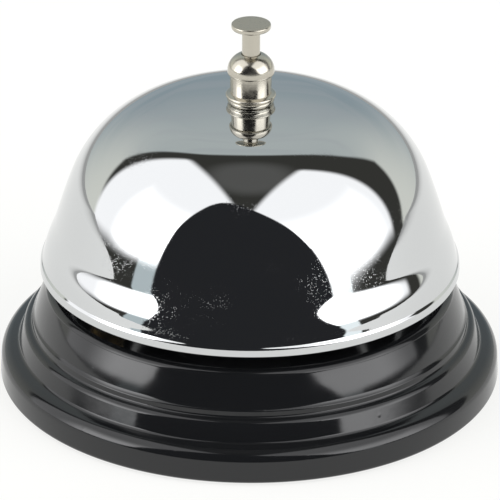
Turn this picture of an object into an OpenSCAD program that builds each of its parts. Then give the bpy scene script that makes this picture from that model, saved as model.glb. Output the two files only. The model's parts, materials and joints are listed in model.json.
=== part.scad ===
// Service bell: a chromed gong on a stepped black base, rung by a push button.
// Millimetres, +Z up, origin at the middle of the underside, hammer towards -X.

/* [Base] */
// widest radius of the bottom step
base_r = 42.85; // [38:0.05:48]
// height of the platform under the gong
platform_z = 17.2; // [15:0.1:19]
// thickness of the pressed steel
base_wall = 0.8; // [0.6:0.1:1]
// height of the rolled edge over the table
hem_z = 0.4; // [0.3:0.1:0.6]

/* [Gong] */
// radius of the rim, without its lip
rim_r = 35.87; // [34:0.01:38]
// height of the rim's lower edge
rim_z = 20.14; // [19.5:0.01:21]
// wall of the gong
gong_wall = 1; // [0.8:0.05:1.2]
// lean of the wall at the rim, in degrees from upright
rim_lean = 14.9; // [13:0.1:17]
// lean where the skirt turns into the shoulder
skirt_lean = 22; // [20:0.1:24]
// lean where the shoulder turns into the crown
shoulder_lean = 83.1; // [80:0.1:85]
// bend radius of the skirt
skirt_bend = 142; // [120:1:160]
// bend radius of the shoulder
shoulder_bend = 20.6; // [19.5:0.1:21.5]
// how far the skirt flares out to its lip
lip_out = 0.18; // [0.1:0.01:0.3]

/* [Button] */
// radius of the button's head
head_r = 3.32; // [2.8:0.01:3.6]
// top of the button at rest
head_z = 64.57; // [63:0.01:66]
// radius of the button's stem
stem_r = 1.52; // [1.4:0.01:1.6]
// travel of the button
stroke = 3.4; // [2.8:0.1:3.4]

/* [Striker] */
// distance of the pivot from the button's axis
pivot_x = 4.5; // [4.4:0.1:5]
// height of the pivot
pivot_z = 29; // [28.5:0.1:29]
// radius of the hammer
hammer_r = 3; // [2.6:0.1:3.2]
// gap left between hammer and gong at the end of the stroke
strike_gap = 0.3; // [0.25:0.05:0.6]

/* [Hidden] */
$fn = 96;
fit = 0.05;                 // radial running clearance
press = 0.02;               // looseness of a riveted or screwed fit inside one body
plate = 1.2;                // bracket and lever strip
ledge1_z = platform_z - 11.1;
ledge2_z = platform_z - 7.35;
cover_z = hem_z + base_wall;

// gong: three tangent arcs, the last one centred on the axis
skirt_c = [rim_r, rim_z] - skirt_bend * dir(rim_lean);
shoulder_c = skirt_c + (skirt_bend - shoulder_bend) * dir(skirt_lean);
crown_start = shoulder_c + shoulder_bend * dir(shoulder_lean);
crown_bend = crown_start[0] / cos(shoulder_lean);
crown_c = [0, crown_start[1] - crown_bend * sin(shoulder_lean)];
// relief left by the forming: [height over the rim where it begins, drop, step outwards]
relief = [[16.9, 10.5, -0.27], [8.5, 4.7, 0.3], [3.5, 1.3, -0.02],
    [1.86, 0.45, lip_out], [1.35, 1.2, -0.15]];
rim_round = 0.3;
seat_r = 5.5;               // flat under the crown for the washer
nut_seat_r = 4.5;           // flat on the crown for the cap nut
seat_z = on_crown(seat_r, crown_bend - gong_wall);
nut_seat_z = on_crown(nut_seat_r, crown_bend);

// frame, from the gong's seat down
tip_r = 2.5;
washer_t = 0.5;
shoulder_z = seat_z - washer_t;
web_z = 36.4;               // top of the bracket
wall_y = 6;                 // inner faces of the bracket's cheeks
foot_y = 14;
rivet_y = 10.8;
nut_top = web_z - plate - washer_t;

// cap nut and button
cap_top = nut_seat_z + 8.82;
cap_floor = cap_top - 1.2;
retainer_top = cap_floor - 0.1;
retainer_bottom = retainer_top - 1.5;
spring_seat = retainer_bottom - 10.6;
rod_r = 1;

// lever: the tail swings as far below level as above it over one stroke
tail_tilt = atan(stroke / 2 / pivot_x);
swing = 2 * tail_tilt;
hammer_h = 5;
hammer_round = 1.5;
hammer_up = plate / 2 + hammer_h - hammer_round;
// where the hammer's rounded edge stands when it is closest to the gong
strike_angle = 60;
strike_at = shoulder_c
    + (shoulder_bend - gong_wall - hammer_round - strike_gap) * dir(strike_angle);
reach_xz = strike_at - [pivot_x, pivot_z];
reach = norm(reach_xz);
arm_len = sqrt(reach * reach - hammer_up * hammer_up) - (hammer_r - hammer_round);
arm_tilt = atan2(reach_xz[1], reach_xz[0]) - asin(hammer_up / reach) - swing;
rod_tip_z = pivot_z + pivot_x * tan(tail_tilt) + (plate / 2 + rod_r + fit) / cos(tail_tilt);
bush_r = 1.6;
hub_r = 2.4;
pin_r = 1;
stop_r = 0.8;
sleeve_r = 1.4;
stop_along = 5;
stop_at = [pivot_x, pivot_z] + stop_along * dir(arm_tilt)
    - (plate / 2 + sleeve_r + fit) * dir(arm_tilt + 90);

function dir(a) = [cos(a), sin(a)];
function arc(c, r, a0, a1, n) = [for (i = [0:n]) c + r * dir(a0 + (a1 - a0) * i / n)];
function ease(t) = let (c = min(max(t, 0), 1)) c * c * (3 - 2 * c);
function sum(v, i = 0) = i < len(v) ? v[i] + sum(v, i + 1) : 0;
function skirt_point(h) =
    let (z = rim_z + h, rise = z - skirt_c[1])
    [skirt_c[0] + sqrt(skirt_bend * skirt_bend - rise * rise)
        + sum([for (s = relief) s[2] * ease((s[0] - h) / s[1])]), z];
function on_crown(r, bend) = crown_c[1] + sqrt(bend * bend - r * r);
function reversed(p) = [for (i = [len(p) - 1:-1:0]) p[i]];

module ring(r_out, r_in, z0, z1) {
    translate([0, 0, z0])
        difference() {
            cylinder(r = r_out, h = z1 - z0);
            translate([0, 0, -1])
                cylinder(r = r_in, h = z1 - z0 + 2);
        }
}

// a cylinder lying along Y through [-x, z]
module across(x, z, r, y0, y1) {
    translate([-x, y1, z])
        rotate([90, 0, 0])
            cylinder(r = r, h = y1 - y0);
}

// convex bends are given as [centre, radius]; the leans are those of the outer face
module base_shell() {
    w = base_wall;
    edge_bend = 1.5;
    edge_c = [base_r - 9.25, platform_z - edge_bend];
    edge_lean = 27;
    foot_lean = 17;
    wall_bend = 30;
    wall_c = edge_c + (edge_bend - wall_bend) * dir(edge_lean);
    wall_foot = wall_c + wall_bend * dir(foot_lean);
    bead_c = wall_foot - [0.1, 0.74];
    upper_bend = 1.15;
    upper_c = [base_r - 5.16, ledge2_z - upper_bend];
    lower_bend = 2.3;
    lower_c = [base_r - 2.45, ledge1_z - lower_bend + 0.02];
    hem_bend = 0.75;
    hem_c = [base_r - hem_bend, hem_z + hem_bend];
    hem_in = hem_c[0] - 1.5;
    outer = concat(
        [[hem_in, hem_z]],
        arc(hem_c, hem_bend, -90, 0, 6),
        arc(lower_c, lower_bend, 4, 80, 8),
        arc([base_r - 2.64, ledge1_z + 0.88], 0.7, 264, 199, 5),
        arc(upper_c, upper_bend, 20, 82, 6),
        arc([base_r - 4.96, ledge2_z + 0.55], 0.55, 262, 197, 5),
        arc(bead_c, 0.5, foot_lean, 50, 3),
        arc(wall_c, wall_bend, foot_lean, edge_lean, 8),
        arc(edge_c, edge_bend, edge_lean + 7, 90, 7),
        [[0, platform_z]]);
    inner = concat(
        [[0, platform_z - w]],
        arc(edge_c, edge_bend - w, 90, edge_lean + 7, 5),
        arc(wall_c, wall_bend - w, edge_lean, foot_lean, 5),
        [[upper_c[0] - 1.1, ledge2_z - w]],
        arc(upper_c, upper_bend - w, 82, 20, 4),
        [[lower_c[0] - 1.6, ledge1_z + 0.4]],
        [[lower_c[0] - 1.2, ledge1_z - w]],
        arc(lower_c, lower_bend - w, 80, 4, 6),
        [[base_r - w, hem_z + 1]],
        [[base_r - w, cover_z]],
        [[hem_in, cover_z]]);
    color([0.03, 0.03, 0.035])
        difference() {
            rotate_extrude()
                polygon(concat(outer, inner));
            for (y = [-rivet_y, rivet_y])
                translate([0, y, platform_z - 2])
                    cylinder(r = 1.2 + press, h = 4);
        }
}

module bottom_cover() {
    color([0.1, 0.1, 0.1])
        translate([0, 0, cover_z])
            cylinder(r = base_r - base_wall - 0.1, h = 0.8);
}

module foot_ring() {
    color([0.05, 0.05, 0.05])
        ring(39.5, 33, 0, cover_z);
}

module frame_bracket() {
    foot_x = 7;
    cheek = [[-foot_x, platform_z], [13, platform_z], [13, pivot_z - 1.2],
        [foot_x, pivot_z + 2.8], [foot_x, web_z], [-foot_x, web_z]];
    color([0.7, 0.7, 0.68])
        difference() {
            union() {
                for (side = [-1, 1]) {
                    translate([0, side * (wall_y + plate / 2) + plate / 2, 0])
                        rotate([90, 0, 0])
                            linear_extrude(plate)
                                mirror([1, 0])
                                    polygon(cheek);
                    translate([-foot_x, side > 0 ? wall_y : -foot_y, platform_z])
                        cube([2 * foot_x, foot_y - wall_y, plate]);
                }
                translate([-foot_x, -wall_y - plate, web_z - plate])
                    cube([2 * foot_x, 2 * (wall_y + plate), plate]);
            }
            translate([0, 0, web_z - 3])
                cylinder(r = 3 + fit, h = 4);
            across(pivot_x, pivot_z, pin_r + press, -9, 9);
            across(stop_at[0], stop_at[1], stop_r + press, -9, 9);
            for (y = [-rivet_y, rivet_y])
                translate([0, y, platform_z - 2])
                    cylinder(r = 1.2 + press, h = 4);
        }
}

module bracket_rivets() {
    top = platform_z + plate;
    under = platform_z - base_wall;
    color([0.75, 0.75, 0.73])
        for (y = [-rivet_y, rivet_y])
            translate([0, y, 0])
                rotate_extrude()
                    polygon(concat(
                        [[0, under - 0.7], [1.9, under - 0.7], [2.2, under - 0.4]],
                        [[2.2, under], [1.2, under], [1.2, top], [2.2, top]],
                        arc([0, top - 1.5], 2.66, 34, 90, 8)));
}

module post() {
    counter_r = 1.75;
    color([0.72, 0.72, 0.7])
        rotate_extrude()
            polygon([
                [rod_r + 0.07, nut_top - 2.4], [2.7, nut_top - 2.4], [3, nut_top - 2.1],
                [3, web_z], [5, web_z], [5, web_z + 1.2], [3.5, web_z + 1.2],
                [3.5, shoulder_z - 1.3], [5.2, shoulder_z - 1.3], [5.2, shoulder_z],
                [tip_r, shoulder_z], [tip_r, nut_seat_z + 2.1], [tip_r - 0.25, nut_seat_z + 2.3],
                [counter_r, nut_seat_z + 2.3], [counter_r, spring_seat],
                [rod_r + 0.07, spring_seat]]);
}

module lock_washer() {
    color([0.6, 0.6, 0.58])
        difference() {
            ring(4.4, 3 + fit, nut_top, nut_top + washer_t);
            translate([3.7, 0, nut_top])
                rotate([0, 0, 25])
                    cube([3, 0.3, 4], center = true);
        }
}

module post_nut() {
    color([0.75, 0.75, 0.72])
        translate([0, 0, nut_top - 2])
            difference() {
                cylinder(r = 4.6, h = 2, $fn = 6);
                translate([0, 0, -1])
                    cylinder(r = 3 + press, h = 4);
            }
}

module gong_washer() {
    color([0.45, 0.2, 0.12])
        ring(seat_r - 0.3, tip_r + fit, shoulder_z, seat_z);
}

module gong() {
    in_bend = skirt_bend - gong_wall;
    fine = 0.15;                // rows of the lip and the narrow relief
    coarse = 1.2;
    fine_top = rim_round + 14 * fine;
    skirt_top = skirt_c[1] + skirt_bend * sin(skirt_lean) - rim_z;
    edge = skirt_point(rim_round) - [rim_round, 0];
    outer = concat(
        [edge - [2 * rim_round, rim_round]],
        arc(edge, rim_round, -90, -15, 4),
        [for (h = [rim_round:fine:fine_top]) skirt_point(h)],
        [for (h = [fine_top + coarse:coarse:skirt_top]) skirt_point(h)],
        arc(shoulder_c, shoulder_bend, skirt_lean + 2, shoulder_lean, 30),
        arc(crown_c, crown_bend, shoulder_lean + 0.5, acos(nut_seat_r / crown_bend), 8),
        [[tip_r + 0.1, nut_seat_z]]);
    inner = concat(
        arc(skirt_c, in_bend, asin((rim_z - skirt_c[1]) / in_bend), skirt_lean, 6),
        arc(shoulder_c, shoulder_bend - gong_wall, skirt_lean + 2, shoulder_lean, 30),
        arc(crown_c, crown_bend - gong_wall, shoulder_lean + 0.5,
            acos(seat_r / (crown_bend - gong_wall)), 8),
        [[tip_r + 0.1, seat_z]]);
    color([0.85, 0.87, 0.88])
        rotate_extrude()
            polygon(concat(outer, reversed(inner)));
}

module cap_nut() {
    z = nut_seat_z;
    bore_r = tip_r + fit;
    waist_r = 3.5;
    outer = concat(
        [[3.55, z]],
        arc([3.1, z + 0.75], 0.9, -50, 15, 5),
        arc([3.98, z + 1.42], 0.27, -50, 75, 6),
        [[waist_r, z + 1.85], [waist_r, z + 5.2]],
        arc([3.66, z + 5.55], 0.3, -75, 0, 4),
        arc([0.86, z + 5.8], 3.1, 0, 75, 14),
        [[stem_r + 0.2, cap_top], [stem_r + 0.08, cap_top - 0.12]]);
    color([0.78, 0.76, 0.7])
        rotate_extrude()
            polygon(concat([[bore_r, z]], outer,
                [[stem_r + 0.08, cap_floor], [bore_r, cap_floor]]));
}

module pivot_pin() {
    face = wall_y + plate;
    color([0.7, 0.7, 0.7])
        difference() {
            union() {
                across(pivot_x, pivot_z, pin_r, -face, face + 1.3);
                across(pivot_x, pivot_z, 1.8, -face - 0.8, -face);
            }
            difference() {
                across(pivot_x, pivot_z, 2, face, face + 0.5);
                across(pivot_x, pivot_z, 0.75, face - 1, face + 1);
            }
        }
}

module pivot_clip() {
    face = wall_y + plate;
    color([0.3, 0.3, 0.32])
        difference() {
            across(pivot_x, pivot_z, 2.1, face, face + 0.45);
            across(pivot_x, pivot_z, 0.75 + press, face - 1, face + 1);
            translate([-pivot_x - 0.6, face - 1, pivot_z])
                cube([1.2, 3, 3]);
        }
}

module stop_pin() {
    face = wall_y + plate;
    color([0.7, 0.7, 0.7])
        union() {
            across(stop_at[0], stop_at[1], stop_r, -face, face);
            across(stop_at[0], stop_at[1], 1.4, -face - 0.6, -face);
            across(stop_at[0], stop_at[1], 1.4, face, face + 0.6);
        }
}

module stop_sleeve() {
    color([0.12, 0.12, 0.12])
        difference() {
            across(stop_at[0], stop_at[1], sleeve_r, -wall_y, wall_y);
            across(stop_at[0], stop_at[1], stop_r + press, -9, 9);
        }
}

// a closed coil of round wire, flat turns at both ends
module plunger_spring() {
    wire = 0.2;
    coil = 1.45;
    turns = 7.5;
    per_turn = 16;
    sides = 6;
    steps = turns * per_turn;
    low = spring_seat + wire + 0.01;
    rise = retainer_bottom - spring_seat - 2 * wire - 0.02;
    points = [for (i = [0:steps], j = [0:sides - 1])
        let (
            u = i / steps,
            e = min(max((u - 0.1) / 0.8, 0), 1),
            a = 360 * turns * u,
            s = 360 * (j + 0.5) / sides,
            r = coil + wire * cos(s),
            z = low + rise * (0.94 * e + 0.06 * u) + wire * sin(s))
        [r * cos(a), r * sin(a), z]];
    side_faces = [for (i = [0:steps - 1], j = [0:sides - 1])
        let (a = i * sides + j, b = i * sides + (j + 1) % sides)
        [b, a, a + sides, b + sides]];
    first_end = [for (j = [0:sides - 1]) j];
    last_end = [for (j = [sides - 1:-1:0]) steps * sides + j];
    color([0.6, 0.6, 0.62])
        polyhedron(points, concat(side_faces, [first_end], [last_end]));
}

module push_button() {
    under = head_z - 0.87;
    fillet = 0.28;
    hollow_z = cap_floor + 3.4;
    outer = concat(
        [[rod_r, retainer_bottom], [2.1, retainer_bottom], [2.1, retainer_top]],
        [[stem_r, retainer_top], [stem_r, under]],
        arc([head_r - fillet, under + fillet], fillet, -90, 0, 5),
        arc([head_r - 0.2, head_z - 0.2], 0.2, 0, 90, 4),
        [[0, head_z]]);
    color([0.72, 0.7, 0.62])
        rotate_extrude()
            polygon(concat(outer, [[0, hollow_z], [rod_r, hollow_z]]));
}

module plunger_rod() {
    color([0.65, 0.65, 0.65])
        rotate_extrude()
            polygon(concat(
                arc([0, rod_tip_z], rod_r, -90, 0, 8),
                [[rod_r, cap_floor + 3.2], [0, cap_floor + 3.2]]));
}

module striker_lever() {
    half_w = 2.5;
    color([0.68, 0.68, 0.66])
        translate([-pivot_x, 0, pivot_z])
            difference() {
                union() {
                    rotate([90, 0, 0])
                        translate([0, 0, -half_w])
                            cylinder(r = hub_r, h = 2 * half_w);
                    rotate([0, arm_tilt, 0]) {
                        translate([-arm_len, -half_w, -plate / 2])
                            cube([arm_len, 2 * half_w, plate]);
                        translate([-arm_len, 0, -plate / 2])
                            cylinder(r = half_w, h = plate);
                    }
                    rotate([0, -tail_tilt, 0])
                        translate([0, -half_w, -plate / 2])
                            cube([pivot_x / cos(tail_tilt) + 1.6, 2 * half_w, plate]);
                }
                rotate([90, 0, 0])
                    translate([0, 0, -9])
                        cylinder(r = bush_r, h = 18);
                rotate([0, arm_tilt, 0])
                    translate([-arm_len, 0, -3])
                        cylinder(r = 1.2 + press, h = 6);
            }
}

module striker_bush() {
    half = wall_y - 0.2;
    color([0.8, 0.6, 0.25])
        difference() {
            across(pivot_x, pivot_z, bush_r, -half, half);
            across(pivot_x, pivot_z, pin_r + fit, -9, 9);
        }
}

module hammer() {
    top = plate / 2 + hammer_h;
    color([0.8, 0.6, 0.25])
        translate([-pivot_x, 0, pivot_z])
            rotate([0, arm_tilt, 0])
                translate([-arm_len, 0, 0])
                    rotate_extrude()
                        polygon(concat(
                            [[0, -plate / 2 - 0.7], [1.5, -plate / 2 - 0.7], [1.9, -plate / 2 - 0.3]],
                            [[1.9, -plate / 2], [1.2, -plate / 2], [1.2, plate / 2]],
                            [[hammer_r - 0.3, plate / 2], [hammer_r, plate / 2 + 0.3]],
                            arc([hammer_r - hammer_round, top - hammer_round], hammer_round, 0, 90, 12),
                            [[0, top]]));
}

base_shell();
bottom_cover();
foot_ring();
frame_bracket();
bracket_rivets();
post();
lock_washer();
post_nut();
gong_washer();
gong();
cap_nut();
pivot_pin();
pivot_clip();
stop_pin();
stop_sleeve();
plunger_spring();
push_button();
plunger_rod();
striker_lever();
striker_bush();
hammer();
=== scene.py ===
"""Looks of the service bell: smooth turned shells over the CAD frame, metals and a plain studio."""
import json
import math

import bmesh
import bpy
from mathutils import Matrix, Vector


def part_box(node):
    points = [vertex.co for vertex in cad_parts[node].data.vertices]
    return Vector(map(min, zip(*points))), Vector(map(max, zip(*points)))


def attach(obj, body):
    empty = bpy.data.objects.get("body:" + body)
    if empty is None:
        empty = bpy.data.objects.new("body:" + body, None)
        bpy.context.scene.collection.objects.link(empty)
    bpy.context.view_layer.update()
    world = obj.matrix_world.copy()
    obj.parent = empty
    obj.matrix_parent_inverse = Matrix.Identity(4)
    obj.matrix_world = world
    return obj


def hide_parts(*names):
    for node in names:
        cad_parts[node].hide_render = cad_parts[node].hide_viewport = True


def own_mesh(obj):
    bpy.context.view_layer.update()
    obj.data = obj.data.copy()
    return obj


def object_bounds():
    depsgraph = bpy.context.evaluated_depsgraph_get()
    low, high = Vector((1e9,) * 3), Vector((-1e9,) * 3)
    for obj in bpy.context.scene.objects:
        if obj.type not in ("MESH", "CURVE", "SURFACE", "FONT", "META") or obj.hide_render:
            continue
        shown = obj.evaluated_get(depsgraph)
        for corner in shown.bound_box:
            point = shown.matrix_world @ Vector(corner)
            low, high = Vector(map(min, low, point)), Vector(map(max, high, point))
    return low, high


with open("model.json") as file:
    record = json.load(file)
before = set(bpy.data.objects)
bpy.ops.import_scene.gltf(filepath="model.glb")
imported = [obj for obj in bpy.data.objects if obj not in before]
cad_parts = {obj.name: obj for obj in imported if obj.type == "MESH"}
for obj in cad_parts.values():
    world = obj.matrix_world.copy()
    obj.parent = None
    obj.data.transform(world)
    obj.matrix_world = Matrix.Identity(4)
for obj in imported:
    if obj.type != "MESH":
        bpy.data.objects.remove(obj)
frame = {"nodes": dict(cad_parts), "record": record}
cad_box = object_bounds()
MM = 0.001

# ---------------------------------------------------------------- camera


def make_camera():
    """A long lens, 0.8 m from the bell and 25.7 degrees above the table."""
    distance, elevation, roll = 0.8, math.radians(25.7), math.radians(0.3)
    aim = 0.3505  # share of the bell's height
    lo, hi = cad_box
    target = Vector((0, 0, lo.z + aim * (hi.z - lo.z)))
    back = Vector((0, -math.cos(elevation), math.sin(elevation)))
    data = bpy.data.cameras.new("camera")
    data.lens = 337.4
    data.sensor_width = 36
    data.clip_start = 0.05
    cam = bpy.data.objects.new("camera", data)
    turn = (-back).to_track_quat("-Z", "Y").to_matrix().to_4x4() @ Matrix.Rotation(roll, 4, "Z")
    cam.matrix_world = Matrix.Translation(target + back * distance) @ turn
    bpy.context.scene.collection.objects.link(cam)
    bpy.context.scene.camera = cam
    bpy.context.scene.view_settings.view_transform = "Standard"


make_camera()

# ---------------------------------------------------------------- outlines
# Points are (radius, height) in millimetres.


def direction(degrees):
    """The unit vector at an angle from the first axis."""
    a = math.radians(degrees)
    return Vector((math.cos(a), math.sin(a)))


def arc(centre, radius, start, end, steps):
    """Points of a circle's arc, both ends included."""
    turn = (start + (end - start) * i / steps for i in range(steps + 1))
    return [Vector(centre) + radius * direction(angle) for angle in turn]


def smooth(t):
    """Smoothstep: 0 up to t = 0, 1 from t = 1 on."""
    t = min(max(t, 0), 1)
    return t * t * (3 - 2 * t)


def size_of(node):
    """(lowest height, highest height, greatest radius) of a turned CAD node, in millimetres."""
    lo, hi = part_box(node)
    return lo.z / MM, hi.z / MM, hi.x / MM


class Gong:
    """Skirt, shoulder and crown as tangent arcs.

    Forming leaves a shallow relief in the skirt and a flared lip at the rim.
    """

    wall = 1.0
    hole, seat_r, under_seat_r = 2.6, 4.5, 5.5
    rim_lean, skirt_lean, shoulder_lean = 14.9, 22.0, 83.1
    skirt_bend, shoulder_bend = 142.0, 20.6
    rim_round = 0.3
    # height over the rim where it begins, drop, step outwards
    relief = (
        (16.9, 10.5, -0.27),
        (8.5, 4.7, 0.3),
        (3.5, 1.3, -0.02),
        (1.86, 0.45, 0.18),
        (1.35, 1.2, -0.15),
    )

    def __init__(self):
        self.rim_z, _, widest = size_of("gong")
        self.skirt_c = -self.skirt_bend * direction(self.rim_lean) + Vector((0, self.rim_z))
        self.skirt_c.x += widest - self.skirt_point(self.rim_round).x
        step = self.skirt_bend - self.shoulder_bend
        self.shoulder_c = self.skirt_c + step * direction(self.skirt_lean)
        start = self.shoulder_c + self.shoulder_bend * direction(self.shoulder_lean)
        self.crown_bend = start.x / direction(self.shoulder_lean).x
        self.crown_c = Vector((0, start.y - self.crown_bend * direction(self.shoulder_lean).y))

    def skirt_point(self, height):
        """The skirt's outside at a height over the rim."""
        rise = self.rim_z + height - self.skirt_c.y
        relief = sum(step * smooth((top - height) / drop) for top, drop, step in self.relief)
        r = self.skirt_c.x + math.sqrt(self.skirt_bend**2 - rise**2) + relief
        return Vector((r, self.rim_z + height))

    def skirt_heights(self):
        """Heights of the skirt's points over the rim, close together up to the top of the lip."""
        low, lip_top = self.rim_round, 4.0
        top = self.skirt_c.y + self.skirt_bend * direction(self.skirt_lean).y - self.rim_z
        lip_rows, upper_rows = 64, 80
        lip = [low + (lip_top - low) * i / lip_rows for i in range(lip_rows)]
        return lip + [lip_top + (top - lip_top) * i / upper_rows for i in range(upper_rows)]

    def outside(self):
        """From the rim up to the crown's hole."""
        edge = self.skirt_point(self.rim_round) - Vector((self.rim_round, 0))
        lip = [edge - Vector((2 * self.rim_round, self.rim_round))]
        lip += arc(edge, self.rim_round, -90, -5, 12)
        skirt = [self.skirt_point(height) for height in self.skirt_heights()]
        shoulder = arc(self.shoulder_c, self.shoulder_bend, self.skirt_lean, self.shoulder_lean, 70)
        seat = math.degrees(math.acos(self.seat_r / self.crown_bend))
        crown = arc(self.crown_c, self.crown_bend, self.shoulder_lean, seat, 24)
        return lip + skirt + shoulder + crown[1:]

    def inside(self):
        """From the crown's hole down to the rim."""
        skirt_bend = self.skirt_bend - self.wall
        shoulder_bend = self.shoulder_bend - self.wall
        crown_bend = self.crown_bend - self.wall
        low = math.degrees(math.asin((self.rim_z - self.skirt_c.y) / skirt_bend))
        seat = math.degrees(math.acos(self.under_seat_r / crown_bend))
        crown = arc(self.crown_c, crown_bend, seat, self.shoulder_lean, 12)
        shoulder = arc(self.shoulder_c, shoulder_bend, self.shoulder_lean, self.skirt_lean, 40)
        skirt = arc(self.skirt_c, skirt_bend, self.skirt_lean, low, 24)
        return crown + shoulder[1:] + skirt[1:]

    def outline(self):
        outside, inside = self.outside(), self.inside()
        edge = [Vector((self.hole, outside[-1].y)), Vector((self.hole, inside[0].y))]
        return outside + edge + inside


class Base:
    """The pressed base: hem, band, two soft steps, a leaning wall and the platform under the gong."""

    wall = 0.8
    hem_width = 1.5
    # the ledges' depths under the platform
    ledge1_drop, ledge2_drop = 11.1, 7.35
    # convex bends and how far their centres are inside the greatest radius
    hem_bend, lower_bend, upper_bend, edge_bend, wall_bend = 0.75, 2.3, 1.15, 1.5, 30.0
    lower_in, upper_in, edge_in = 2.45, 5.16, 9.25
    # hollow bends at the foot of each rise, and the bead at the foot of the wall
    lower_fillet, lower_fillet_in, lower_fillet_up = 0.7, 2.64, 0.88
    upper_fillet, upper_fillet_in, upper_fillet_up = 0.55, 4.96, 0.55
    bead_bend, bead_in, bead_drop = 0.5, 0.1, 0.74
    # leans of the wall's outer face
    foot_lean, edge_lean = 17, 27

    def __init__(self):
        self.low, _, self.r = size_of("base_shell")
        self.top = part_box("frame_bracket")[0].z / MM
        self.ledge1, self.ledge2 = self.top - self.ledge1_drop, self.top - self.ledge2_drop
        self.hem_c = self.point(self.hem_bend, self.low + self.hem_bend)
        self.lower_c = self.point(self.lower_in, self.ledge1 - self.lower_bend + 0.02)
        self.upper_c = self.point(self.upper_in, self.ledge2 - self.upper_bend)
        self.edge_c = self.point(self.edge_in, self.top - self.edge_bend)
        self.wall_c = self.edge_c + (self.edge_bend - self.wall_bend) * direction(self.edge_lean)
        foot = self.wall_c + self.wall_bend * direction(self.foot_lean)
        self.bead_c = foot - Vector((self.bead_in, self.bead_drop))

    def point(self, inwards, height):
        """A point given by its distance inside the greatest radius."""
        return Vector((self.r - inwards, height))

    def outside(self):
        """From the hem up to the platform."""
        lower_fillet_c = self.point(self.lower_fillet_in, self.ledge1 + self.lower_fillet_up)
        upper_fillet_c = self.point(self.upper_fillet_in, self.ledge2 + self.upper_fillet_up)
        return (
            arc(self.hem_c, self.hem_bend, -90, 0, 12)
            + arc(self.lower_c, self.lower_bend, 4, 80, 30)
            + arc(lower_fillet_c, self.lower_fillet, 264, 199, 14)
            + arc(self.upper_c, self.upper_bend, 20, 82, 20)
            + arc(upper_fillet_c, self.upper_fillet, 262, 197, 14)
            + arc(self.bead_c, self.bead_bend, self.foot_lean, 50, 8)
            + arc(self.wall_c, self.wall_bend, self.foot_lean, self.edge_lean, 30)
            + arc(self.edge_c, self.edge_bend, self.edge_lean, 90, 24)
        )

    def inside(self):
        """From the platform down to the hem, one wall further in."""
        return (
            arc(self.edge_c, self.edge_bend - self.wall, 90, self.edge_lean, 8)
            + arc(self.wall_c, self.wall_bend - self.wall, self.edge_lean, self.foot_lean, 10)
            + [Vector((self.upper_c.x - 1.1, self.ledge2 - self.wall))]
            + arc(self.upper_c, self.upper_bend - self.wall, 82, 20, 6)
            + [Vector((self.lower_c.x - 1.6, self.ledge1 + 0.4))]
            + [Vector((self.lower_c.x - 1.2, self.ledge1 - self.wall))]
            + arc(self.lower_c, self.lower_bend - self.wall, 80, 4, 14)
            + [self.point(self.wall, self.low + 1), self.point(self.wall, self.low + self.wall)]
        )

    def outline(self):
        hem = self.hem_c.x - self.hem_width
        platform = [Vector((0, self.top)), Vector((0, self.top - self.wall))]
        hem_end = [Vector((hem, self.low + self.wall)), Vector((hem, self.low))]
        return self.outside() + platform + self.inside() + hem_end


def cap_outline():
    """The turned nut on top of the gong: foot, ridge, waist, rim and dome.

    The waist's second point at each end keeps its shading straight.
    """
    low, top, _ = size_of("cap_nut")
    stem, bore, foot, waist = 1.6, 2.55, 3.55, 3.5
    waist_heights = (1.85, 1.95, 5.1, 5.2)
    ceiling, break_edge = top - 1.2, 0.06
    return (
        [Vector((bore, low)), Vector((foot, low))]
        + arc((3.1, low + 0.75), 0.9, -50, 15, 12)
        + arc((3.98, low + 1.42), 0.27, -50, 75, 12)
        + [Vector((waist, low + height)) for height in waist_heights]
        + arc((3.66, low + 5.55), 0.3, -75, 0, 10)
        + arc((0.86, low + 5.8), 3.1, 0, 75, 32)
        + [Vector((stem + break_edge, top)), Vector((stem, top - break_edge))]
        + [Vector((stem, ceiling)), Vector((bore, ceiling))]
    )


def button_outline():
    """Retaining shoulder, stem and head, with the rod's socket inside."""
    low, top, head = size_of("push_button")
    rod, stem, retainer = 1.0, 1.52, 2.1
    under, retainer_top, socket_top = top - 0.87, low + 1.5, low + 5
    fillet, lower_round, upper_round, flat = 0.1, 0.28, 0.2, head - 0.9
    return (
        [Vector((rod, low)), Vector((retainer, low))]
        + [Vector((retainer, retainer_top)), Vector((stem, retainer_top))]
        + [Vector((stem, under - fillet)), Vector((stem + fillet, under))]
        + arc((head - lower_round, under + lower_round), lower_round, -90, 0, 8)
        + arc((head - upper_round, top - upper_round), upper_round, 0, 90, 8)
        + [Vector((flat, top)), Vector((0, top))]
        + [Vector((0, socket_top)), Vector((rod, socket_top))]
    )


# ---------------------------------------------------------------- meshes


def finish_mesh(name, bm, body, material, corner):
    """Makes the object, smooth except at edges sharper than corner degrees, riding on body."""
    bmesh.ops.recalc_face_normals(bm, faces=bm.faces)
    mesh = bpy.data.meshes.new(name)
    bm.to_mesh(mesh)
    bm.free()
    mesh.polygons.foreach_set("use_smooth", [True] * len(mesh.polygons))
    mesh.set_sharp_from_angle(angle=math.radians(corner))
    mesh.materials.append(material)
    obj = bpy.data.objects.new(name, mesh)
    bpy.context.scene.collection.objects.link(obj)
    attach(obj, body)
    return obj


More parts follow.
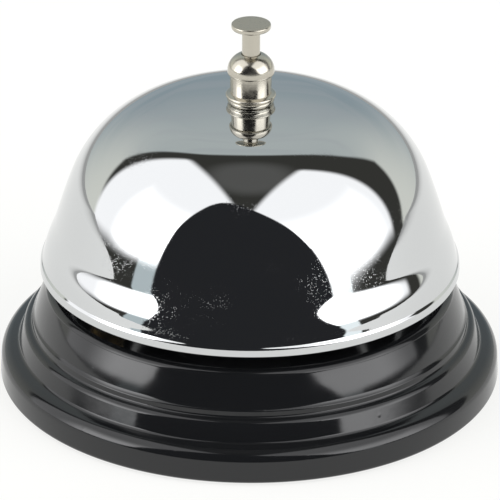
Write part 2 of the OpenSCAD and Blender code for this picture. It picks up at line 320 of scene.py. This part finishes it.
def lathe(name, outline, body, material, around=256):
    """Turns a closed outline about Z. Points on the axis become one vertex each."""
    on_axis = 1e-6
    bm = bmesh.new()
    rings = []
    for p in outline:
        if p.x < on_axis:
            rings.append([bm.verts.new((0, 0, p.y * MM))])
            continue
        ring = []
        for i in range(around):
            a = 2 * math.pi * i / around
            ring.append(bm.verts.new((p.x * MM * math.cos(a), p.x * MM * math.sin(a), p.y * MM)))
        rings.append(ring)
    for a, b in zip(rings, rings[1:] + rings[:1]):
        if len(a) == 1 and len(b) == 1:
            continue
        for i in range(around):
            j = (i + 1) % around
            loop = [a[i % len(a)], a[j % len(a)], b[j % len(b)], b[i % len(b)]]
            bm.faces.new(list(dict.fromkeys(loop)))
    return finish_mesh(name, bm, body, material, corner=28)


def coil_spring(body, material):
    """The return spring: round wire, nearly level at both ends, filling its CAD node's box."""
    lo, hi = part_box("plunger_spring")
    wire, turns, per_turn, sides = 0.2 * MM, 7.5, 32, 10
    level_end, level_rise = 0.1, 0.06  # shares of the turns and of the height
    coil, start, rise = hi.x - wire, lo.z + wire, hi.z - lo.z - 2 * wire
    steps = int(turns * per_turn)
    bm = bmesh.new()
    rings = []
    for i in range(steps + 1):
        share = i / steps
        climb = min(max((share - level_end) / (1 - 2 * level_end), 0), 1)
        middle = start + rise * ((1 - level_rise) * climb + level_rise * share)
        turn = 2 * math.pi * turns * share
        ring = []
        for j in range(sides):
            section = wire * direction(360 * j / sides)
            r = coil + section.x
            ring.append(bm.verts.new((r * math.cos(turn), r * math.sin(turn), middle + section.y)))
        rings.append(ring)
    for a, b in zip(rings, rings[1:]):
        for j in range(sides):
            k = (j + 1) % sides
            bm.faces.new((a[j], a[k], b[k], b[j]))
    bm.faces.new(rings[0])
    bm.faces.new(rings[-1])
    return finish_mesh("spring_coil", bm, body, material, corner=50)


# ---------------------------------------------------------------- materials


class Look:
    """A Principled material with object coordinates at hand. Lengths are in metres."""

    def __init__(self, name, color, metallic=0.0):
        self.material = bpy.data.materials.new(name)
        self.material.use_nodes = True
        self.tree = self.material.node_tree
        self.shader = self.tree.nodes["Principled BSDF"]
        self.shader.inputs["Base Color"].default_value = (*color, 1)
        self.shader.inputs["Metallic"].default_value = metallic
        self.place = self.tree.nodes.new("ShaderNodeTexCoord").outputs["Object"]
        self.bumps = None

    def node(self, kind, settings=None, **inputs):
        """A new node with its settings and inputs; an input may be a number or another socket."""
        made = self.tree.nodes.new(kind)
        for key, value in (settings or {}).items():
            setattr(made, key, value)
        for key, value in inputs.items():
            socket = made.inputs[key.replace("_", " ")]
            if isinstance(value, bpy.types.NodeSocket):
                self.tree.links.new(value, socket)
            else:
                socket.default_value = value
        return made

    def noise(self, size, detail=3.0, stretch=(1, 1, 1)):
        """Noise whose blobs are about size metres across, from 0 to 1."""
        mapping = self.node("ShaderNodeMapping", Vector=self.place)
        mapping.inputs["Scale"].default_value = stretch
        return self.node(
            "ShaderNodeTexNoise", Vector=mapping.outputs["Vector"], Scale=1 / size, Detail=detail
        ).outputs["Fac"]

    def math(self, operation, *values):
        made = self.node("ShaderNodeMath", {"operation": operation})
        for value, socket in zip(values, made.inputs):
            if isinstance(value, bpy.types.NodeSocket):
                self.tree.links.new(value, socket)
            else:
                socket.default_value = value
        return made.outputs[0]

    def specks(self, size, share):
        """1 in the middle of a share of small cells, 0 elsewhere."""
        cells = self.node("ShaderNodeTexVoronoi", Vector=self.place, Scale=1 / size)
        dot = self.spread(cells.outputs["Distance"], 0.05, 0.4, 1, 0)
        pick = self.node("ShaderNodeSeparateColor", Color=cells.outputs["Color"]).outputs["Red"]
        return self.math("MULTIPLY", dot, self.math("LESS_THAN", pick, share))

    def spread(self, value, low, high, to_low, to_high):
        """value from low..high onto to_low..to_high, kept inside."""
        made = self.node("ShaderNodeMapRange", Value=value)
        keys = "From Min", "From Max", "To Min", "To Max"
        for key, number in zip(keys, (low, high, to_low, to_high)):
            made.inputs[key].default_value = number
        return made.outputs["Result"]

    def rough(self, value, low, high, to_low, to_high, dust=0.0):
        """Roughness that follows value, and at least dust."""
        rough = self.math("MAXIMUM", self.spread(value, low, high, to_low, to_high), dust)
        self.tree.links.new(rough, self.shader.inputs["Roughness"])

    def tint(self, factor, dark, light):
        """Base colour from dark to light as factor goes from 0 to 1."""
        mix = self.node("ShaderNodeMix", {"data_type": "RGBA"})
        self.tree.links.new(factor, mix.inputs["Factor"])
        mix.inputs["A"].default_value = (*dark, 1)
        mix.inputs["B"].default_value = (*light, 1)
        self.tree.links.new(mix.outputs["Result"], self.shader.inputs["Base Color"])

    def bump(self, height, depth):
        """Adds relief depth metres deep where height goes from 0 to 1."""
        made = self.node("ShaderNodeBump", Height=height, Strength=1.0, Distance=depth)
        if self.bumps:
            self.tree.links.new(self.bumps, made.inputs["Normal"])
        self.bumps = made.outputs["Normal"]
        self.tree.links.new(self.bumps, self.shader.inputs["Normal"])


def dusty(look, spots):
    """From 0 to 1 near the spots, each a point in millimetres with its reach."""
    total = 0.0
    for *point, reach in spots:
        away = look.node("ShaderNodeVectorMath", {"operation": "DISTANCE"}, Vector=look.place)
        away.inputs[1].default_value = Vector(point) * MM
        near = look.spread(away.outputs["Value"], 0, reach * MM, 1, 0)
        total = look.math("MAXIMUM", total, near)
    return total


def chrome():
    """Bright plating with fine pits and dust, thick in a few spots and thin elsewhere."""
    look = Look("chrome", (0.60, 0.61, 0.615), metallic=1)
    spots = (
        (-22, -23, 33, 6),
        (-13, -31, 26.5, 7),
        (-5.5, -32.5, 28, 5),
        (-1.6, -26.3, 43, 3.5),
        (10, -30.5, 31, 5),
        (19, -26, 31, 5),
    )
    patches = look.spread(look.noise(0.002, 3), 0.35, 0.6, 0, 1)
    thick = look.math("MULTIPLY", dusty(look, spots), patches)
    thin = look.spread(look.noise(0.012, 4), 0.5, 0.7, 0, 0.4)
    cover = look.math("MAXIMUM", thick, thin)
    pits = look.math("MULTIPLY", look.specks(0.00022, 0.45), cover)
    dust = look.math("MULTIPLY", pits, 0.9)
    look.rough(look.noise(0.012, 4), 0.35, 0.7, 0.015, 0.04, dust=dust)
    look.bump(look.noise(0.0005, 2), 0.0000003)
    look.bump(pits, 0.000007)
    return look.material


def enamel():
    look = Look("black_enamel", (0.009, 0.0095, 0.0105))
    look.rough(look.noise(0.006, 4), 0.35, 0.75, 0.07, 0.14)
    look.bump(look.noise(0.0025, 2), 0.000006)
    look.bump(look.specks(0.0012, 0.03), 0.00001)
    return look.material


def nickel():
    look = Look("nickel", (0.52, 0.49, 0.42), metallic=1)
    look.rough(look.noise(0.0012, 3), 0.3, 0.7, 0.14, 0.26)
    look.bump(look.noise(0.0003, 2, (0.15, 0.15, 1)), 0.000002)
    return look.material


def satin_nickel():
    look = Look("satin_nickel", (0.56, 0.50, 0.41), metallic=1)
    grain = look.noise(0.00022, 3, (0.3, 1, 1))
    look.rough(grain, 0.3, 0.7, 0.26, 0.42)
    look.bump(grain, 0.000012)
    return look.material


def zinc():
    look = Look("zinc_steel", (0.55, 0.55, 0.54), metallic=1)
    flakes = look.noise(0.0012, 5)
    look.rough(flakes, 0.3, 0.7, 0.25, 0.5)
    look.tint(flakes, (0.42, 0.42, 0.42), (0.62, 0.62, 0.60))
    look.bump(look.noise(0.0003, 3), 0.000006)
    return look.material


def dark_steel():
    look = Look("dark_steel", (0.16, 0.16, 0.17), metallic=1)
    look.rough(look.noise(0.0008, 4), 0.3, 0.7, 0.28, 0.5)
    return look.material


def brass():
    look = Look("brass", (0.72, 0.50, 0.20), metallic=1)
    turned = look.noise(0.0003, 3, (0.1, 0.1, 1))
    look.rough(turned, 0.3, 0.7, 0.2, 0.4)
    look.tint(look.noise(0.003, 4), (0.58, 0.38, 0.14), (0.76, 0.56, 0.24))
    look.bump(turned, 0.000008)
    return look.material


def rubber():
    look = Look("rubber", (0.02, 0.02, 0.02))
    look.rough(look.noise(0.0008, 5), 0.3, 0.7, 0.6, 0.85)
    look.bump(look.noise(0.0004, 4), 0.00003)
    return look.material


def fibre():
    look = Look("fibre", (0.30, 0.09, 0.05))
    grain = look.noise(0.0005, 5, (1, 1, 4))
    look.tint(grain, (0.22, 0.06, 0.03), (0.38, 0.13, 0.08))
    look.bump(grain, 0.00002)
    return look.material


def satin_black():
    look = Look("satin_black", (0.03, 0.03, 0.031))
    look.rough(look.noise(0.002, 5), 0.3, 0.7, 0.38, 0.58)
    look.bump(look.noise(0.0005, 3), 0.00001)
    return look.material


# ---------------------------------------------------------------- the bell


def shorten(spring):
    """Gives the spring a mesh of its own."""
    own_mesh(spring)


def cad_looks():
    """Materials by slot, also put on the CAD nodes that use them."""
    steel = dark_steel()
    looks = {
        "black_enamel": enamel(),
        "black_board": satin_black(),
        "rubber": rubber(),
        "zinc_steel": zinc(),
        "spring_steel": steel,
        "dark_steel": steel,
        "fibre": fibre(),
        "brass": brass(),
    }
    for part in frame["record"]["subparts"]:
        look = looks.get(part["material_slot"])
        if look:
            for slot in frame["nodes"][part["node"]].material_slots:
                slot.material = look
    return looks


def build_bell():
    """Finer pieces in place of five CAD nodes; the others keep their shapes."""
    looks = cad_looks()
    base = lathe("base_skin", Base().outline(), "base", looks["black_enamel"])
    gong = lathe("gong_skin", Gong().outline(), "base", chrome(), around=288)
    cap = lathe("cap_skin", cap_outline(), "base", nickel(), around=128)
    button = lathe("button_skin", button_outline(), "plunger", nickel(), around=128)
    button.data.materials.append(satin_nickel())
    level = 0.9
    for face in button.data.polygons:
        if face.normal.z > level:
            face.material_index = 1
    spring = coil_spring("plunger", looks["spring_steel"])
    for piece, node, slot in (
        (base, "base_shell", "black_enamel"),
        (gong, "gong", "chrome"),
        (cap, "cap_nut", "nickel"),
        (button, "push_button", "brushed_nickel"),
        (spring, "plunger_spring", "spring_steel"),
    ):
        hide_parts(node)
    shorten(spring)


build_bell()

# ---------------------------------------------------------------- studio


class Sky:
    """The studio's walls and lamps as seen from the bell, painted by direction on the world."""

    def __init__(self):
        world = bpy.data.worlds.new("studio")
        bpy.context.scene.world = world
        world.use_nodes = True
        self.tree = world.node_tree
        self.out = self.tree.nodes["Background"].inputs["Color"]
        self.way = self.tree.nodes.new("ShaderNodeTexCoord").outputs["Generated"]
        split = self.tree.nodes.new("ShaderNodeSeparateXYZ")
        self.link(self.way, split.inputs["Vector"])
        self.up = split.outputs["Z"]
        self.back = split.outputs["Y"]
        self.sideways = self.math("ABSOLUTE", split.outputs["X"])
        self.color = None

    def link(self, value, socket):
        if isinstance(value, bpy.types.NodeSocket):
            self.tree.links.new(value, socket)
        else:
            socket.default_value = value

    def math(self, operation, *values):
        made = self.tree.nodes.new("ShaderNodeMath")
        made.operation = operation
        for value, socket in zip(values, made.inputs):
            self.link(value, socket)
        return made.outputs[0]

    def ramp(self, value, low, high):
        """0 at low, 1 at high, smooth between."""
        made = self.tree.nodes.new("ShaderNodeMapRange")
        made.interpolation_type = "SMOOTHSTEP"
        self.link(value, made.inputs["Value"])
        made.inputs["From Min"].default_value = low
        made.inputs["From Max"].default_value = high
        return made.outputs["Result"]

    def side(self, normal, soft):
        """1 on the normal's side of the plane through the bell, 0 on the other, over soft radians."""
        dot = self.tree.nodes.new("ShaderNodeVectorMath")
        dot.operation = "DOT_PRODUCT"
        self.link(self.way, dot.inputs[0])
        dot.inputs[1].default_value = normal.normalized()
        return self.ramp(dot.outputs["Value"], -soft, soft)

    def panel(self, corners, soft):
        """Mask of a flat panel, given the directions of its corners in turn."""
        corners = [Vector(corner) for corner in corners]
        middle = sum((corner.normalized() for corner in corners), Vector())
        mask = 1.0
        for a, b in zip(corners, corners[1:] + corners[:1]):
            normal = a.cross(b)
            if normal.dot(middle) < 0:
                normal = -normal
            mask = self.math("MULTIPLY", mask, self.side(normal, soft))
        return mask

    def folds(self):
        """Faint level streaks."""
        flatness, scale, most = 7, 1.6, 0.3
        stretch = self.tree.nodes.new("ShaderNodeMapping")
        self.link(self.way, stretch.inputs["Vector"])
        stretch.inputs["Scale"].default_value = (1, 1, flatness)
        noise = self.tree.nodes.new("ShaderNodeTexNoise")
        self.link(stretch.outputs["Vector"], noise.inputs["Vector"])
        noise.inputs["Scale"].default_value = scale
        return self.math("MULTIPLY", self.ramp(noise.outputs["Fac"], 0.45, 0.65), most)

    def mix(self, factor, a, b):
        made = self.tree.nodes.new("ShaderNodeMix")
        made.data_type = "RGBA"
        for value, key in ((factor, "Factor"), (a, "A"), (b, "B")):
            if isinstance(value, tuple):
                value = (*value, 1)
            self.link(value, made.inputs[key])
        return made.outputs["Result"]

    def paint(self, color, mask):
        """Covers what is painted so far where mask is 1."""
        self.color = self.mix(mask, self.color, color)

    def finish(self):
        self.link(self.color, self.out)


def across(distance, *corners):
    """Corners of a card facing the bell, given as (sideways, up); distance is along +Y."""
    return [(x, distance, z) for x, z in corners]


def paint_sheet(sky):
    """The pale sheet behind the bell: a stiff upper part over a wider foot, shaded in the middle."""
    right_edge = (1.68, -0.1), (1.13, 1.62), (0.84, 1.83), (0.53, 1.925), (0, 1.97)
    left_edge = (-0.53, 1.925), (-0.7, 1.745), (-0.93, 1.47), (-2.0, -0.1)
    upper = across(1, *right_edge, *left_edge)
    foot = across(1, (4.0, -0.28), (1.3, 1.06), (-1.3, 0.98), (-3.4, -0.1))
    edge = 0.03
    shape = sky.math("MAXIMUM", sky.panel(upper, edge), sky.panel(foot, edge))
    shade_low, shade_high = (0.342, 0.42, 0.46), (0.586, 0.64, 0.637)
    streak, bright = (0.5, 0.53, 0.56), (0.92, 0.936, 0.867)
    middle = sky.mix(sky.ramp(sky.up, 0.2, 0.67), shade_low, shade_high)
    middle = sky.mix(sky.folds(), middle, streak)
    low = sky.math("SUBTRACT", 1.0, sky.ramp(sky.up, 0.45, 0.8))
    outwards = sky.math("MULTIPLY", sky.ramp(sky.sideways, 0.15, 0.95), low)
    sky.paint(sky.mix(outwards, middle, bright), shape)


def paint_lamps(sky):
    """A soft box on each side, brightest low in front, and a pale strip under each."""
    left_back = (-0.937, 0.35, -0.029), (-0.327, 0.36, 0.874)
    left_front = (-0.116, -0.55, 0.83), (-0.649, -0.76, 0.165)
    right_back = (0.993, 0.115, 0.039), (0.305, 0.179, 0.9355)
    right_front = (-0.003, -0.62, 0.785), (0.644, -0.765, 0.101)
    left_strip = across(-1, (-1.28, -0.07), (-1.28, 0.34), (-2.25, 0.43), (-3.1, -0.16))
    right_strip = across(-1, (0.84, -0.07), (0.84, 0.23), (1.6, 0.26), (1.9, -0.1))
    left_glow, right_glow, soft = (5.0, 5.0, 5.05), (4.0, 4.0, 4.05), (1.5, 1.5, 1.52)
    lamp_edge, strip_edge = 0.035, 0.012
    fade = sky.math("MAXIMUM", sky.ramp(sky.up, 0.3, 0.75), sky.ramp(sky.back, -0.3, 0.1))
    sky.paint((0.66, 0.75, 0.78), sky.panel(left_strip, strip_edge))
    sky.paint((1.3, 1.4, 1.43), sky.panel(right_strip, strip_edge))
    for glow, corners in (
        (left_glow, left_back + left_front),
        (right_glow, right_back + right_front),
    ):
        sky.paint(sky.mix(fade, glow, soft), sky.panel(corners, lamp_edge))


def paint_card(sky):
    """The dark card in front of the bell, wider at its foot."""
    left_edge = (-1.37, -0.1), (-1.19, 0.9), (-1.015, 1.475), (-0.81, 1.98), (-0.62, 2.15)
    top = (-0.4, 2.1), (-0.14, 1.82), (0.23, 1.315)
    right_edge = (0.49, 0.93), (0.63, 0.68), (0.74, 0.45), (1.0, -0.1)
    card = across(-1, *left_edge, *top, *right_edge)
    foot = across(-1, (-1.72, -0.05), (-1.27, 0.42), (0.76, 0.38), (1.35, -0.05))
    edge = 0.012
    shape = sky.math("MAXIMUM", sky.panel(card, edge), sky.panel(foot, edge))
    sky.paint((0.026, 0.027, 0.03), shape)


def paint_studio():
    """A dark room with a paler ceiling, then what stands in it, the nearest last."""
    room, ceiling = (0.052, 0.052, 0.047), (0.13, 0.13, 0.125)
    sky = Sky()
    sky.color = room
    sky.paint(ceiling, sky.ramp(sky.up, 0.93, 0.985))
    paint_sheet(sky)
    paint_lamps(sky)
    paint_card(sky)
    sky.finish()


def make_floor():
    """A pale table that glows, so that it stays white with a faint shadow; it dims behind the bell."""
    reach = 9
    near, far = 0.2, 0.6
    near_glow, far_glow = 0.8, 0.22
    corners = [(-reach, -reach, 0), (reach, -reach, 0), (reach, reach, 0), (-reach, reach, 0)]
    mesh = bpy.data.meshes.new("floor")
    mesh.from_pydata(corners, [], [(0, 1, 2, 3)])
    floor = bpy.data.objects.new("floor", mesh)
    bpy.context.scene.collection.objects.link(floor)
    look = Look("floor", (0.2, 0.2, 0.2))
    look.tint(look.noise(0.4, 2), (0.195, 0.195, 0.19), (0.205, 0.205, 0.2))
    look.shader.inputs["Roughness"].default_value = 0.9
    look.shader.inputs["Emission Color"].default_value = (1, 1, 0.985, 1)
    behind = look.node("ShaderNodeSeparateXYZ", Vector=look.place).outputs["Y"]
    glow = look.spread(behind, near, far, near_glow, far_glow)
    look.tree.links.new(glow, look.shader.inputs["Emission Strength"])
    mesh.materials.append(look.material)


paint_studio()
make_floor()
